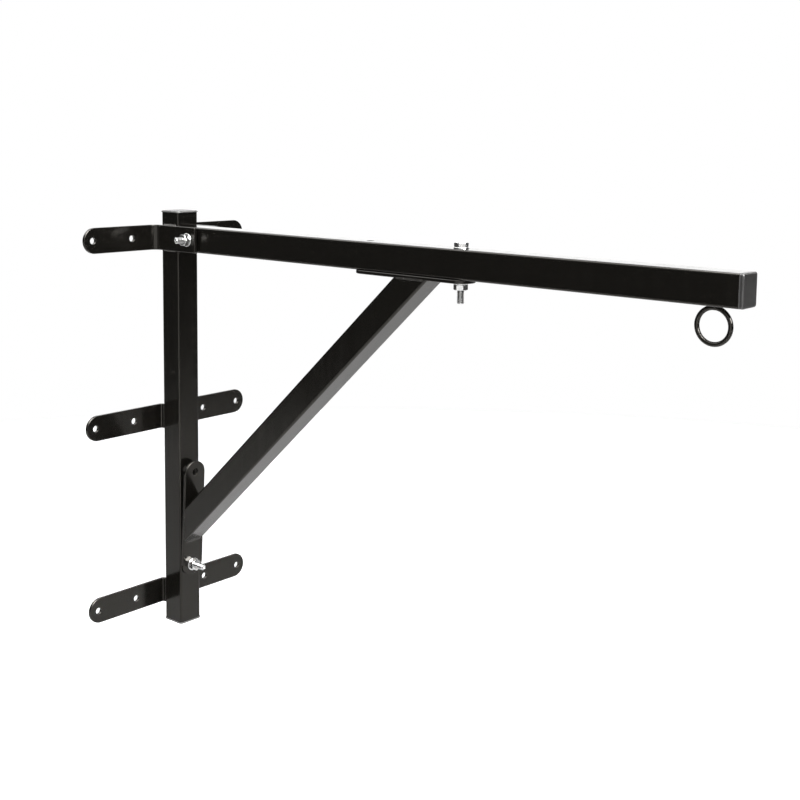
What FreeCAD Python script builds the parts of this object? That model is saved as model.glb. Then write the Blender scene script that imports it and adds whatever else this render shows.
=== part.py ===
import FreeCAD, Part
import math
import os

from FreeCAD import Matrix, Placement, Rotation, Vector

# A wall bracket that hangs a punch bag away from the wall, in millimetres.
# The origin is on the wall, at the centre of the middle strap.
# +X points away from the wall along the arm, +Z is up, and the plane Y = 0 is the symmetry plane.

# ---- stock ----
TUBE = 40.0                    # side of the square tube of the post and the brace
ARM_HEIGHT = 40.0
ARM_WIDTH = 35.0               # narrower than the post, so that the arm passes between the bracket ears
TUBE_WALL = 2.0
TUBE_CORNER = 3.0              # outside corner radius of every tube
BAR_WIDTH = 40.0               # flat bar of the straps, brackets and brace plates
BAR_THICK = 5.0
BAR_EDGE = 1.2                 # softened edge of the flat bar
HOLE_EDGE = 0.5                # softened rim of a punched hole

# ---- wall side ----
STRAP_SPACING = 292.0          # between neighbouring straps
WALL_HOLE = 10.0
INNER_HOLE_Y = 71.0
OUTER_HOLE_Y = 144.0
WALL_HOLE_TO_END = 16.0        # from the centre of a hole to the rounded end of its bar
STRAP_REACH = OUTER_HOLE_Y + WALL_HOLE_TO_END
HAT_HALF_WIDTH = 17.0          # half width of the raised middle of a strap
HAT_BEND = 4.5                 # centreline bend radius of a strap
STANDOFF = 14.0                # from the wall to the back of the post
BRACKET_BEND = 13.0            # centreline bend radius of a corner bracket
EAR_END_X = 100.0
EAR_CORNER = 2.5

# ---- post and arm ----
POST_BELOW = 43.5              # post length below the centre of the bottom strap
POST_ABOVE = 40.5              # and above the centre of the top brackets
ARM_GAP = 1.0                  # between the post and the end of the arm
ARM_CAP_FLANGE = 6.0
REACH = 1010.0                 # from the wall to the outside of the arm's end cap

# ---- brace ----
BRACE_ANGLE = 43.0             # above the horizontal
BRACE_TOP_X = 532.0            # where the brace centreline meets its upper plate
ARM_PLATE_X = 524.0            # middle of the upper plate
ARM_PLATE_HOLES = 160.0
ARM_PLATE_HOLE_TO_END = 19.5
POST_PLATE_HOLES = 155.0
POST_PLATE_HOLE_TO_END = 17.5
POST_PLATE_LEAN = 3.1          # the plate bears on the post at its lower end and stands off above
POST_PLATE_FOOT_Z = -257.0

# ---- plastic caps ----
CAP_LIP = 3.0
CAP_OVERHANG = 1.5
CAP_DOME = 1.2
CAP_DEPTH = 16.0
CAP_WALL = 2.0
CAP_CLEARANCE = 0.6
CAP_RIB = 0.5
CAP_RIB_COUNT = 3

# ---- M10 fasteners ----
THREAD = 10.0
THREAD_CLEARANCE = 0.05        # between a plain shank and its nut, which stand in for the threads
BOLT_HOLE = 11.0
ACROSS_FLATS = 17.0
HEAD_HEIGHT = 6.4
NUT_HEIGHT = 8.0
WASHER_OUTSIDE = 21.0
WASHER_HOLE = 10.5
WASHER_THICK = 2.0
WASHER_CHAMFER = 0.3
HEX_FACE_SHARE = 0.95          # round end face of a head or nut, as a share of its width across flats
HEX_CHAMFER_ANGLE = 30.0
NUT_COUNTERSINK = 0.6
POINT_CHAMFER = 1.2
BOLT_LENGTH = 75.0
PIVOT_X = 82.0
ARM_HEAD_TURN = -14.0          # how far the arm plate bolt's head and nut are turned on their axis
ARM_NUT_TURN = 30.0

# ---- ring and welds ----
RING_OUTSIDE = 48.0
RING_WIRE = 6.0
RING_X = 967.0
BEAD = 3.0                     # radius of an ordinary weld bead
SIDE_BEAD = 1.8                # radius of the beads on the sides of the brace
RING_BEAD = 4.2
RING_BEAD_HALF_LENGTH = 6.0
RING_BEAD_DROP = 1.0           # from the underside of the arm to the middle of the ring's bead

# ---- worked out from the above ----
TUBE_INSIDE_CORNER = TUBE_CORNER - TUBE_WALL / 2
TOP_Z = STRAP_SPACING
BOTTOM_Z = -STRAP_SPACING
POST_FRONT_X = STANDOFF + TUBE
ARM_START_X = POST_FRONT_X + ARM_GAP
POST_TOP_Z = TOP_Z + POST_ABOVE
POST_BOTTOM_Z = BOTTOM_Z - POST_BELOW
ARM_BOTTOM_Z = TOP_Z - ARM_HEIGHT / 2
ARM_TOP_Z = TOP_Z + ARM_HEIGHT / 2
PLATE_BOTTOM_Z = ARM_BOTTOM_Z - BAR_THICK
EAR_OUTSIDE_Y = TUBE / 2 + BAR_THICK
ARM_BOLT_X = ARM_PLATE_X + ARM_PLATE_HOLES / 2
ARM_SPARE_X = ARM_PLATE_X - ARM_PLATE_HOLES / 2
ARM_TUBE_END_X = REACH - ARM_CAP_FLANGE
ARM_LENGTH = ARM_TUBE_END_X - ARM_START_X
POST_LENGTH = POST_TOP_Z - POST_BOTTOM_Z
RING_MIDDLE_R = (RING_OUTSIDE - RING_WIRE) / 2
RING_Z = ARM_BOTTOM_Z - RING_OUTSIDE / 2
LEAN = math.radians(POST_PLATE_LEAN)
ALONG_PLATE = Vector(math.sin(LEAN), 0, math.cos(LEAN))
PLATE_NORMAL = Vector(math.cos(LEAN), 0, -math.sin(LEAN))
PLATE_FOOT = Vector(POST_FRONT_X, 0, POST_PLATE_FOOT_Z)
PLATE_HOLES = [POST_PLATE_HOLE_TO_END, POST_PLATE_HOLE_TO_END + POST_PLATE_HOLES]
PLATE_MIDDLE = PLATE_FOOT + PLATE_NORMAL * (BAR_THICK / 2)
POST_HOLES_Z = [(PLATE_MIDDLE + ALONG_PLATE * reach).z for reach in PLATE_HOLES]
SLOPE = math.radians(BRACE_ANGLE)
ALONG_BRACE = Vector(math.cos(SLOPE), 0, math.sin(SLOPE))
BRACE_NORMAL = Vector(-math.sin(SLOPE), 0, math.cos(SLOPE))
BRACE_TOP = Vector(BRACE_TOP_X, 0, PLATE_BOTTOM_Z)
X_AXIS = Vector(1, 0, 0)
Y_AXIS = Vector(0, 1, 0)
Z_AXIS = Vector(0, 0, 1)
LONG = 2000.0                  # longer than anything in the bracket, for cutting tools
NEAR = 0.01                    # lengths below this count as nothing
PARALLEL = 0.999               # two directions with at least this dot product count as parallel


def turned(shape, axis, position, spin=0):
    """The shape, built along +Z at the origin, pointed along axis and moved to position.

    spin turns it about its own axis first, in degrees.
    """
    copy = shape.copy()
    rotation = Rotation(Z_AXIS, axis).multiply(Rotation(Z_AXIS, spin))
    copy.Placement = Placement(position, rotation).multiply(shape.Placement)
    return copy


def edges_along(shape, direction):
    """The straight edges of a shape that run along a direction."""
    found = []
    for edge in shape.Edges:
        if edge.Curve.TypeId == "Part::GeomLine" and abs(edge.Curve.Direction.dot(direction)) > PARALLEL:
            found.append(edge)
    return found


def drilled(shape, position, axis, diameter):
    """The shape with a round hole right through it."""
    drill = Part.makeCylinder(diameter / 2, LONG, position - axis * (LONG / 2), axis)
    return shape.cut(drill)


def punched(bar, position, axis, diameter):
    """The bar with a round hole right through it, whose rims are softened."""
    bar = drilled(bar, position, axis, diameter)
    rims = []
    for edge in bar.Edges:
        curve = edge.Curve
        if curve.TypeId != "Part::GeomCircle" or abs(curve.Radius - diameter / 2) > NEAR:
            continue
        if (curve.Center - position).cross(axis).Length < NEAR:
            rims.append(edge)
    return bar.makeFillet(HOLE_EDGE, rims)


# ---- tubes and caps ----

def rounded_bar(width, height, length, corner):
    """A solid bar along +Z: width along X, height along Y, with rounded long edges."""
    bar = Part.makeBox(width, height, length, Vector(-width / 2, -height / 2, 0))
    return bar.makeFillet(corner, edges_along(bar, Z_AXIS))


def tube(width, height, length):
    """A rectangular tube along +Z."""
    outside = rounded_bar(width, height, length, TUBE_CORNER)
    inside = rounded_bar(width - 2 * TUBE_WALL, height - 2 * TUBE_WALL, length, TUBE_INSIDE_CORNER)
    return outside.cut(inside)


def cap_plug(width, height):
    """The hollow plug under a cap, hanging down from the origin, with grip ribs on its four sides."""
    outer_x = width - 2 * TUBE_WALL - 2 * CAP_CLEARANCE
    outer_y = height - 2 * TUBE_WALL - 2 * CAP_CLEARANCE
    corner = TUBE_INSIDE_CORNER
    plug = rounded_bar(outer_x, outer_y, CAP_DEPTH, corner)
    hollow = rounded_bar(outer_x - 2 * CAP_WALL, outer_y - 2 * CAP_WALL, CAP_DEPTH, corner / 2)
    plug = plug.cut(hollow)
    rib_pitch = CAP_DEPTH / (CAP_RIB_COUNT + 1)
    rib_height = rib_pitch / 2
    for step in range(1, CAP_RIB_COUNT + 1):
        rib = rounded_bar(outer_x + 2 * CAP_RIB, outer_y + 2 * CAP_RIB, rib_height, corner)
        rib = rib.cut(rounded_bar(outer_x - CAP_WALL, outer_y - CAP_WALL, rib_height, corner))
        rib.translate(Vector(0, 0, step * rib_pitch - rib_height))
        plug = plug.fuse(rib)
    plug.translate(Vector(0, 0, -CAP_DEPTH))
    return plug.removeSplitter()


def post_cap():
    """A pushed-in tube cap whose domed lip stands a little proud of the tube."""
    side = TUBE + 2 * CAP_OVERHANG
    lip = rounded_bar(side, side, CAP_LIP, TUBE_CORNER + CAP_OVERHANG)
    upper_rim = [edge for edge in lip.Edges if edge.BoundBox.ZMin > CAP_LIP - NEAR]
    lip = lip.makeFillet(CAP_DOME, upper_rim)
    return lip.fuse(cap_plug(TUBE, TUBE)).removeSplitter()


def arm_cap():
    """A deeper cap that sits flush with the sides of the arm."""
    flange = rounded_bar(ARM_HEIGHT, ARM_WIDTH, ARM_CAP_FLANGE, TUBE_CORNER)
    outer_rim = [edge for edge in flange.Edges if edge.BoundBox.ZMin > ARM_CAP_FLANGE - NEAR]
    flange = flange.makeFillet(CAP_DOME, outer_rim)
    return flange.fuse(cap_plug(ARM_HEIGHT, ARM_WIDTH)).removeSplitter()


def in_post_place(stock):
    stock.translate(Vector(STANDOFF + TUBE / 2, 0, POST_BOTTOM_Z))
    return stock


def make_post():
    post = in_post_place(tube(TUBE, TUBE, POST_LENGTH))
    for height in POST_HOLES_Z:
        post = drilled(post, Vector(0, 0, height), X_AXIS, BOLT_HOLE)
    return post


def in_arm_place(stock):
    # Turning +Z onto +X puts the X side of the stock upright.
    return turned(stock, X_AXIS, Vector(ARM_START_X, 0, TOP_Z))


def make_arm():
    arm = in_arm_place(tube(ARM_HEIGHT, ARM_WIDTH, ARM_LENGTH))
    arm = drilled(arm, Vector(PIVOT_X, 0, TOP_Z), Y_AXIS, BOLT_HOLE)
    for x in (ARM_BOLT_X, ARM_SPARE_X):
        arm = drilled(arm, Vector(x, 0, 0), Z_AXIS, BOLT_HOLE)
    return arm


# ---- flat bar ----

def rounded_end_outline(length, width, thickness):
    """A flat bar with half-round ends: length along Y, width along Z, thickness from X = 0."""
    half = length / 2 - width / 2
    middle = Part.makeBox(thickness, 2 * half, width, Vector(0, -half, -width / 2))
    for side in (-1, 1):
        middle = middle.fuse(Part.makeCylinder(width / 2, thickness, Vector(0, side * half, 0), X_AXIS))
    return middle.removeSplitter()


def offset_path(corners, bend, offset):
    """Lines and arcs that run beside a path of square bends, at an offset to its left."""
    directions = []
    for start, end in zip(corners, corners[1:]):
        directions.append((end - start).normalize())
    lefts = [Vector(-way.y, way.x, 0) for way in directions]
    edges = []
    here = corners[0] + lefts[0] * offset
    for index in range(1, len(directions)):
        before, after = directions[index - 1], directions[index]
        turn = before.x * after.y - before.y * after.x
        corner = corners[index] + (lefts[index - 1] + lefts[index]) * offset
        radius = bend - turn * offset
        start = corner - before * radius
        end = corner + after * radius
        middle = corner + (after - before) * radius * (1 - math.sqrt(0.5))
        if (start - here).Length > NEAR:
            edges.append(Part.makeLine(here, start))
        edges.append(Part.Arc(start, middle, end).toShape())
        here = end
    last = corners[-1] + lefts[-1] * offset
    edges.append(Part.makeLine(here, last))
    return edges


def bent_bar(corners, bend):
    """Flat bar on edge, bent along a path in the XY plane and centred on Z = 0."""
    left = offset_path(corners, bend, BAR_THICK / 2)
    right = offset_path(corners, bend, -BAR_THICK / 2)
    ends = []
    for index, tip in ((0, corners[0]), (-1, corners[-1])):
        left_tip = left[index].Vertexes[index].Point
        right_tip = right[index].Vertexes[index].Point
        ends.append(Part.makeLine(left_tip, right_tip))
    outline = Part.Wire(Part.__sortEdges__(left + right + ends))
    bar = Part.Face(outline).extrude(Vector(0, 0, BAR_WIDTH))
    bar.translate(Vector(0, 0, -BAR_WIDTH / 2))
    return bar


def softened(bar):
    """The bar with all its outside edges slightly rounded."""
    return bar.makeFillet(BAR_EDGE, bar.Edges)


def make_strap(height):
    """A strap whose middle is raised off the wall, with two wall holes on each side."""
    wing = BAR_THICK / 2
    raised = STANDOFF - BAR_THICK / 2
    side = HAT_HALF_WIDTH - BAR_THICK / 2
    path = [
        Vector(wing, -STRAP_REACH, 0),
        Vector(wing, -side, 0),
        Vector(raised, -side, 0),
        Vector(raised, side, 0),
        Vector(wing, side, 0),
        Vector(wing, STRAP_REACH, 0),
    ]
    strap = bent_bar(path, HAT_BEND)
    strap = strap.common(rounded_end_outline(2 * STRAP_REACH, BAR_WIDTH, STANDOFF))
    strap = softened(strap)
    for y in (-OUTER_HOLE_Y, -INNER_HOLE_Y, INNER_HOLE_Y, OUTER_HOLE_Y):
        strap = punched(strap, Vector(0, y, 0), X_AXIS, WALL_HOLE)
    strap.translate(Vector(0, 0, height))
    return strap


def make_bracket(side):
    """A corner bracket: a wing on the wall and an ear along one side of the post. side is -1 or 1."""
    ear_y = side * (TUBE / 2 + BAR_THICK / 2)
    wing = BAR_THICK / 2
    path = [
        Vector(wing, side * STRAP_REACH, 0),
        Vector(wing, ear_y, 0),
        Vector(EAR_END_X, ear_y, 0),
    ]
    bracket = bent_bar(path, BRACKET_BEND)
    bracket = bracket.common(rounded_end_outline(2 * STRAP_REACH, BAR_WIDTH, EAR_END_X))
    tip_edges = [edge for edge in edges_along(bracket, Y_AXIS) if edge.BoundBox.XMin > EAR_END_X - NEAR]
    bracket = softened(bracket.makeFillet(EAR_CORNER, tip_edges))
    for y in (OUTER_HOLE_Y, INNER_HOLE_Y):
        bracket = punched(bracket, Vector(0, side * y, 0), X_AXIS, WALL_HOLE)
    bracket = punched(bracket, Vector(PIVOT_X, 0, 0), Y_AXIS, BOLT_HOLE)
    bracket.translate(Vector(0, 0, TOP_Z))
    return bracket


def flat_plate(hole_spacing, hole_to_end):
    """A straight plate with rounded ends and a bolt hole near each, lying along Y on the plane X = 0."""
    plate = softened(rounded_end_outline(hole_spacing + 2 * hole_to_end, BAR_WIDTH, BAR_THICK))
    for y in (-hole_spacing / 2, hole_spacing / 2):
        plate = punched(plate, Vector(0, y, 0), X_AXIS, BOLT_HOLE)
    return plate


def laid(plate, along, normal, middle):
    """A flat plate with its length along one direction and its thickness along another."""
    across = normal.cross(along)
    matrix = Matrix(
        normal.x, along.x, across.x, middle.x,
        normal.y, along.y, across.y, middle.y,
        normal.z, along.z, across.z, middle.z,
        0, 0, 0, 1,
    )
    copy = plate.copy()
    copy.Placement = Placement(matrix)
    return copy


def make_arm_plate():
    plate = flat_plate(ARM_PLATE_HOLES, ARM_PLATE_HOLE_TO_END)
    return laid(plate, X_AXIS, Z_AXIS * -1, Vector(ARM_PLATE_X, 0, ARM_BOTTOM_Z))


def make_post_plate():
    plate = flat_plate(POST_PLATE_HOLES, POST_PLATE_HOLE_TO_END)
    middle = PLATE_FOOT + ALONG_PLATE * (POST_PLATE_HOLE_TO_END + POST_PLATE_HOLES / 2)
    return laid(plate, ALONG_PLATE, PLATE_NORMAL, middle)


# ---- brace ----

def half_space(point, normal):
    """A big block that fills the side of a plane that the normal points to."""
    block = Part.makeBox(LONG, LONG, LONG, Vector(-LONG / 2, -LONG / 2, 0))
    return turned(block, normal, point)


def cut_brace(stock):
    """Stock along the slope, cut to lie flat on the leaning post plate and on the level arm plate."""
    start = BRACE_TOP - ALONG_BRACE * LONG / 2
    brace = stock.copy()
    brace.Placement = Placement(start, Rotation(BRACE_NORMAL, Y_AXIS * -1, ALONG_BRACE, "ZXY"))
    brace = brace.cut(half_space(BRACE_TOP, Z_AXIS))
    plate_face = PLATE_FOOT + PLATE_NORMAL * BAR_THICK
    return brace.cut(half_space(plate_face, PLATE_NORMAL * -1))


def brace_corner(side, plane_point, plane_normal):
    """Where the upper (1) or lower (-1) face of the brace meets a plane, at Y = 0."""
    edge = BRACE_TOP + BRACE_NORMAL * (side * TUBE / 2)
    distance = (plane_point - edge).dot(plane_normal) / ALONG_BRACE.dot(plane_normal)
    return edge + ALONG_BRACE * distance


# ---- welds ----
# Each bead is cut by the filled outline of its tube, so that none of it is left inside the hollow.

def bead(start, end, radius, neighbours):
    """A weld bead with round ends laid along a seam, filling only what the neighbours leave free."""
    along = end - start
    shape = Part.makeCylinder(radius, along.Length, start, along)
    for tip in (start, end):
        shape = shape.fuse(Part.makeSphere(radius, tip, along))
    shape = shape.removeSplitter()
    for neighbour in neighbours:
        shape = shape.cut(neighbour)
    return shape


def make_bracket_welds(post, brackets):
    """Beads along the upper and lower edges of both ears, where they lie on the post."""
    beads = []
    inset = TUBE_CORNER + BEAD
    for side, bracket in zip((-1, 1), brackets):
        for height in (TOP_Z - BAR_WIDTH / 2, TOP_Z + BAR_WIDTH / 2):
            start = Vector(STANDOFF + inset, side * TUBE / 2, height)
            end = Vector(POST_FRONT_X - inset, side * TUBE / 2, height)
            beads.append(bead(start, end, BEAD, [post, bracket]))
    return beads


def make_strap_welds(post, straps):
    """Upright beads in the grooves between the post and the shoulders of each strap."""
    beads = []
    reach = BAR_WIDTH / 2 - BEAD
    for strap in straps:
        middle = strap.BoundBox.Center.z
        for side in (-1, 1):
            seam = Vector(STANDOFF - BEAD / 2, side * (HAT_HALF_WIDTH - BEAD / 2), middle)
            beads.append(bead(seam - Z_AXIS * reach, seam + Z_AXIS * reach, BEAD, [post, strap]))
    return beads


def make_brace_welds(brace, arm_plate, post_plate):
    """Beads across the brace above and below each end, and along its two sides at each plate."""
    beads = []
    plate_face = PLATE_FOOT + PLATE_NORMAL * BAR_THICK
    joints = ((arm_plate, BRACE_TOP, Z_AXIS), (post_plate, plate_face, PLATE_NORMAL))
    for plate, point, normal in joints:
        neighbours = [brace, plate]
        upper = brace_corner(1, point, normal)
        lower = brace_corner(-1, point, normal)
        across = Y_AXIS * (TUBE / 2 - TUBE_CORNER - BEAD)
        for corner in (upper, lower):
            beads.append(bead(corner - across, corner + across, BEAD, neighbours))
        inset = (upper - lower).normalize() * (TUBE_CORNER + BEAD)
        for side in (-1, 1):
            outward = Y_AXIS * (side * (TUBE / 2 - SIDE_BEAD / 3))
            beads.append(bead(lower + inset + outward, upper - inset + outward, SIDE_BEAD, neighbours))
    return beads


def make_ring():
    return Part.makeTorus(RING_MIDDLE_R, RING_WIRE / 2, Vector(RING_X, 0, RING_Z), Y_AXIS)


def make_ring_weld(arm, ring):
    reach = X_AXIS * RING_BEAD_HALF_LENGTH
    seam = Vector(RING_X, 0, ARM_BOTTOM_Z - RING_BEAD_DROP)
    return bead(seam - reach, seam + reach, RING_BEAD, [arm, ring])


# ---- fasteners ----

def hex_prism(height, chamfer_both):
    """A hexagon across the flats, with its corners chamfered on top, or on both ends."""
    corner_r = ACROSS_FLATS / math.sqrt(3)
    points = []
    for turn in range(7):
        angle = math.radians(60 * turn)
        points.append(Vector(corner_r * math.cos(angle), corner_r * math.sin(angle), 0))
    prism = Part.Face(Part.makePolygon(points)).extrude(Vector(0, 0, height))
    face_r = HEX_FACE_SHARE * ACROSS_FLATS / 2
    rise = (corner_r - face_r) * math.tan(math.radians(HEX_CHAMFER_ANGLE))
    envelope = Part.makeCylinder(corner_r, height - rise)
    envelope = envelope.fuse(Part.makeCone(corner_r, face_r, rise, Vector(0, 0, height - rise)))
    prism = prism.common(envelope)
    if chamfer_both:
        flipped = turned(envelope, Z_AXIS * -1, Vector(0, 0, height))
        prism = prism.common(flipped)
    return prism


def bolt():
    """A hexagon bolt along -Z, with the underside of its head at the origin."""
    full_length = BOLT_LENGTH - POINT_CHAMFER
    shank = Part.makeCylinder(THREAD / 2, full_length, Z_AXIS * -full_length)
    point_r = THREAD / 2 - POINT_CHAMFER
    point = Part.makeCone(point_r, THREAD / 2, POINT_CHAMFER, Z_AXIS * -BOLT_LENGTH)
    return hex_prism(HEAD_HEIGHT, False).fuse(shank).fuse(point).removeSplitter()


def nut():
    """A hexagon nut from Z = 0 down."""
    body = hex_prism(NUT_HEIGHT, True)
    body = body.cut(Part.makeCylinder(THREAD / 2 + THREAD_CLEARANCE, NUT_HEIGHT))
    bore_r = THREAD / 2
    mouth_r = bore_r + NUT_COUNTERSINK
    body = body.cut(Part.makeCone(mouth_r, bore_r, NUT_COUNTERSINK))
    upper = Vector(0, 0, NUT_HEIGHT - NUT_COUNTERSINK)
    body = body.cut(Part.makeCone(bore_r, mouth_r, NUT_COUNTERSINK, upper))
    body.translate(Vector(0, 0, -NUT_HEIGHT))
    return body


def washer():
    """A plain washer from Z = 0 up."""
    ring = Part.makeCylinder(WASHER_OUTSIDE / 2, WASHER_THICK)
    ring = ring.makeChamfer(WASHER_CHAMFER, ring.Edges[:1])
    return ring.cut(Part.makeCylinder(WASHER_HOLE / 2, WASHER_THICK))


def bolt_set(name, head_seat, nut_seat, head_way, seat_normal, head_turn=0, nut_turn=0):
    """A bolt with its nut and two washers, as {node: shape}.

    head_seat and nut_seat are where the washers lie on the clamped parts. head_way points from nut to head.
    seat_normal is the outward normal of the face under the nut's washer, which may lean.
    """
    lean = seat_normal.getAngle(head_way * -1)
    nut_gap = WASHER_THICK / math.cos(lean) + ACROSS_FLATS / 2 * math.tan(lean)
    return {
        name + "_bolt": turned(bolt(), head_way, head_seat + head_way * WASHER_THICK, head_turn),
        name + "_head_washer": turned(washer(), head_way, head_seat),
        name + "_nut": turned(nut(), head_way, nut_seat - head_way * nut_gap, nut_turn),
        name + "_nut_washer": turned(washer(), seat_normal, nut_seat),
    }


def make_fasteners():
    bolt_z = POST_HOLES_Z[0]
    hole_on_plate = PLATE_FOOT + ALONG_PLATE * PLATE_HOLES[0] + PLATE_NORMAL * BAR_THICK
    post_nut_seat = hole_on_plate + ALONG_PLATE * ((bolt_z - hole_on_plate.z) / ALONG_PLATE.z)
    pivot = Vector(PIVOT_X, 0, TOP_Z)
    sets = {}
    sets.update(bolt_set("pivot", pivot + Y_AXIS * EAR_OUTSIDE_Y, pivot - Y_AXIS * EAR_OUTSIDE_Y,
                         Y_AXIS, Y_AXIS * -1))
    on_arm = Vector(ARM_BOLT_X, 0, ARM_TOP_Z)
    under_plate = Vector(ARM_BOLT_X, 0, PLATE_BOTTOM_Z)
    sets.update(bolt_set("arm_plate", on_arm, under_plate, Z_AXIS, Z_AXIS * -1, ARM_HEAD_TURN, ARM_NUT_TURN))
    behind_post = Vector(STANDOFF, 0, bolt_z)
    sets.update(bolt_set("post_plate", behind_post, post_nut_seat, X_AXIS * -1, PLATE_NORMAL))
    return sets


# ---- the whole bracket ----

def make_parts():
    filled_post = in_post_place(rounded_bar(TUBE, TUBE, POST_LENGTH, TUBE_CORNER))
    filled_arm = in_arm_place(rounded_bar(ARM_HEIGHT, ARM_WIDTH, ARM_LENGTH, TUBE_CORNER))
    filled_brace = cut_brace(rounded_bar(TUBE, TUBE, LONG, TUBE_CORNER))
    brackets = [make_bracket(-1), make_bracket(1)]
    straps = [make_strap(0), make_strap(BOTTOM_Z)]
    arm_plate = make_arm_plate()
    post_plate = make_post_plate()
    ring = make_ring()
    middle_x = STANDOFF + TUBE / 2
    parts = {
        "post": make_post(),
        "post_cap_top": turned(post_cap(), Z_AXIS, Vector(middle_x, 0, POST_TOP_Z)),
        "post_cap_bottom": turned(post_cap(), Z_AXIS * -1, Vector(middle_x, 0, POST_BOTTOM_Z)),
        "top_bracket_left": brackets[0],
        "top_bracket_right": brackets[1],
        "middle_strap": straps[0],
        "bottom_strap": straps[1],
        "arm": make_arm(),
        "arm_end_cap": turned(arm_cap(), X_AXIS, Vector(ARM_TUBE_END_X, 0, TOP_Z)),
        "brace_tube": cut_brace(tube(TUBE, TUBE, LONG)),
        "brace_arm_plate": arm_plate,
        "brace_post_plate": post_plate,
        "hanging_ring": ring,
        "bracket_welds": Part.makeCompound(make_bracket_welds(filled_post, brackets)),
        "strap_welds": Part.makeCompound(make_strap_welds(filled_post, straps)),
        "brace_welds": Part.makeCompound(make_brace_welds(filled_brace, arm_plate, post_plate)),
        "ring_weld": make_ring_weld(filled_arm, ring),
    }
    parts.update(make_fasteners())
    return parts


os.makedirs("parts", exist_ok=True)
for node, shape in make_parts().items():
    shape.exportStep("parts/" + node + ".step")
    print(node, len(shape.Solids), "valid" if shape.isValid() else "INVALID", round(shape.Volume), "mm3")
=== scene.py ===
import math

import bmesh
import bpy
from mathutils import Matrix, Quaternion, Vector, noise


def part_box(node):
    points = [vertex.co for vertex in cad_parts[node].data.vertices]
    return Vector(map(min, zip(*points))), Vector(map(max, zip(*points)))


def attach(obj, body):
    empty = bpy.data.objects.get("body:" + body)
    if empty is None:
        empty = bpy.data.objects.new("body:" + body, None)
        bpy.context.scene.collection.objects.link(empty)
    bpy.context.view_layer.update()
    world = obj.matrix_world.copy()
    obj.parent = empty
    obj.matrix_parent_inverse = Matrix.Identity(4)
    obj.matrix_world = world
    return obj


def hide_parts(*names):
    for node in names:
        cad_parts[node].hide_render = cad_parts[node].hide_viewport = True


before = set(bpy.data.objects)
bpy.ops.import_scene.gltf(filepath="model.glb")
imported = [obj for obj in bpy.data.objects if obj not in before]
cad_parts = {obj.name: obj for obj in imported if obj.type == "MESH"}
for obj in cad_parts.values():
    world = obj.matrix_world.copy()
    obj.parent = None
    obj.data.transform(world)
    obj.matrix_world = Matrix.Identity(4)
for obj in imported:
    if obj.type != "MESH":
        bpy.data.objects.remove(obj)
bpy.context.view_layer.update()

# The looks of a wall bracket for a punch bag, in metres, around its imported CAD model.
# The tubes and the flat bars stay as CAD nodes and get a painted finish.
# The fasteners, caps, ring and welds are built here and replace their plain CAD nodes.

MM = 0.001
X_AXIS = Vector((1, 0, 0))
Y_AXIS = Vector((0, 1, 0))
Z_AXIS = Vector((0, 0, 1))
MERGE = 0.0005 * MM            # points closer than this are one point
CREASE = 35                    # degrees; sharper edges of a piece stay sharp

# ---- M10 fasteners ----
THREAD_R = 5.0 * MM
THREAD_ROOT_R = 4.1 * MM
THREAD_PITCH = 1.5 * MM
THREAD_LENGTH = 32.0 * MM
THREAD_RUN_OUT = 2.5 * MM
THREAD_GAP = 0.05 * MM         # between the threads of a bolt and its nut
CREST_SHARE = 0.125            # flat crest and flat root of a thread, as shares of its pitch
ROOT_SHARE = 0.25
POINT_CHAMFER = 1.2 * MM
CENTRE_MARK_R = 2.0 * MM
CENTRE_MARK_DEPTH = 0.8 * MM
ACROSS_FLATS = 17.0 * MM
HEAD_HEIGHT = 6.4 * MM
HEX_SOFTNESS = 0.30 * MM       # width of the softened edges of a head or nut
HEX_FACE_SHARE = 0.95          # round end face, as a share of the width across flats
HEX_CORNER_SHARE = 0.975       # corners are rounded at this share of their full radius
HEX_CREASE = 25                # keeps the flats flat up to their rounded corners
HEX_SIDES = 6
HALF_SIDE = math.radians(180 / HEX_SIDES)
CHAMFER_SLOPE = math.tan(math.radians(30))
DISH_SHARE = 0.72              # shallow recess in the top of a forged head
DISH_DEPTH = 0.3 * MM
NUT_MOUTH_R = 5.6 * MM
WASHER_HOLE_R = 5.25 * MM
WASHER_SEGMENTS = 72
# Edges of a washer: how far each point lies in from the edge, and its height as a share of the thickness.
WASHER_HOLE_BELOW = ((0.0, 0.10), (0.15 * MM, 0.0))
WASHER_RIM_SIDE = ((0.12 * MM, 0.0), (0.0, 0.06), (0.0, 0.62))
WASHER_RIM_ROLL = ((0.10 * MM, 0.80), (0.32 * MM, 0.93), (0.75 * MM, 1.0))
WASHER_HOLE_ABOVE = ((0.55 * MM, 1.0), (0.18 * MM, 0.93), (0.0, 0.76))
ARM_HEAD_TURN = -14            # degrees that the arm bolt's head is turned about its axis
ARM_NUT_TURN = 30

# ---- welds ----
RIPPLE_PITCH = 1.7 * MM
RIPPLE_HEIGHT = 0.22 * MM
RIPPLE_SHARPNESS = 0.7         # below 1 the valleys between ripples are sharper than their crests
RIPPLE_BASE = 0.6              # part of a ripple that lies below the smooth bead
RIPPLE_LAG = 0.45              # how far ripples trail at the edges of a bead, as a share of its leg
WANDER = 0.25                  # how far ripples stray from an even pitch, as a share of the pitch
WANDER_LENGTH = 5.0 * MM
WANDER_SHIFT = Z_AXIS * 7      # keeps the straying of the ripples apart from the swelling of the bead
SWELL = 0.10                   # how much a bead's size changes along its length
SWELL_LENGTH = 4.0 * MM
BEAD_STEP = 0.28 * MM
BEAD_STEPS_MIN = 8
BEAD_POINTS = 9                # points across a bead
BEAD_SINK = 0.15 * MM
BRACKET_LEG = 2.0 * MM
BRACKET_CROWN = 0.3 * MM
STRAP_LEG = 5.8 * MM
STRAP_CROWN = 0.35 * MM
STRAP_WELD_INSET = 2.0 * MM
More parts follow.
